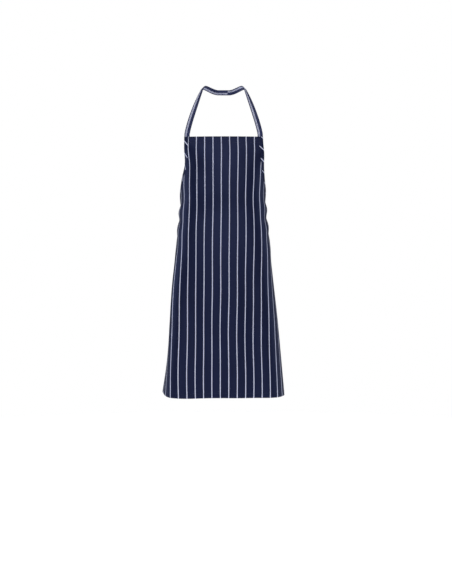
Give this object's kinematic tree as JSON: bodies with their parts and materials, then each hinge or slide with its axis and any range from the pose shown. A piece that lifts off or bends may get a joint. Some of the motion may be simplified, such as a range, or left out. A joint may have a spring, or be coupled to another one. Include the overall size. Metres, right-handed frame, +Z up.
{
  "type": "butcher apron",
  "caption": "Full-length striped bib apron in its worn shape, with a sewn neck halter, bias-bound armholes and waist ties knotted in a bow behind.",
  "frame": {"origin": "inner face of the neck halter at the nape, on the centre line", "axes": "+Z up, -Y out of the bib's front face, +X to the wearer's left"},
  "size_m": [0.453, 0.2508, 1.1748],
  "materials": {
    "striped_twill": "navy polyester-cotton twill with woven white pinstripes",
    "striped_bias": "the same striped twill cut on the bias and folded as a binding",
    "striped_tape": "the same striped twill folded into a flat tape and edge-stitched",
    "thread": "dense navy polyester thread",
    "label": "plain white satin label, blank"
  },
  "bodies": {
    "halter": {"neck_strap_left": "striped_tape", "neck_strap_right": "striped_tape", "nape_bar_tack_left": "thread", "nape_bar_tack_right": "thread"},
    "panel": {"apron_panel": "striped_twill", "armhole_binding_left": "striped_bias", "armhole_binding_right": "striped_bias", "neck_strap_end_left": "striped_tape", "neck_strap_end_right": "striped_tape", "neck_bar_tack_left": "thread", "neck_bar_tack_right": "thread", "waist_tie_end_left": "striped_tape", "waist_tie_end_right": "striped_tape", "waist_bar_tack_left": "thread", "waist_bar_tack_right": "thread", "care_label": "label"},
    "waist_band": {"waist_tie_left": "striped_tape", "waist_tie_right": "striped_tape", "waist_bow_knot": "striped_tape", "waist_bow_loop_left": "striped_tape", "waist_bow_loop_right": "striped_tape"},
    "tail_left": {"waist_tie_tail_left": "striped_tape"},
    "tail_right": {"waist_tie_tail_right": "striped_tape"}
  },
  "joints": [
    {"name": "bib_swing", "type": "hinge", "parent": "halter", "child": "panel", "pos_m": [0, -0.17092, -0.1835], "axis": [-1, 0, 0], "range_deg": [-20, 100]},
    {"name": "waist_band_roll", "type": "hinge", "parent": "panel", "child": "waist_band", "pos_m": [0, 0.01205, -0.46817], "axis": [1, 0, 0], "range_deg": [0, 70]},
    {"name": "tail_left_swing", "type": "hinge", "parent": "waist_band", "child": "tail_left", "pos_m": [0.0045, 0.01536, -0.4815], "axis": [1, 0, 0], "range_deg": [-8, 75]},
    {"name": "tail_right_swing", "type": "hinge", "parent": "waist_band", "child": "tail_right", "pos_m": [-0.0045, 0.01536, -0.4815], "axis": [1, 0, 0], "range_deg": [-8, 75]}
  ]
}
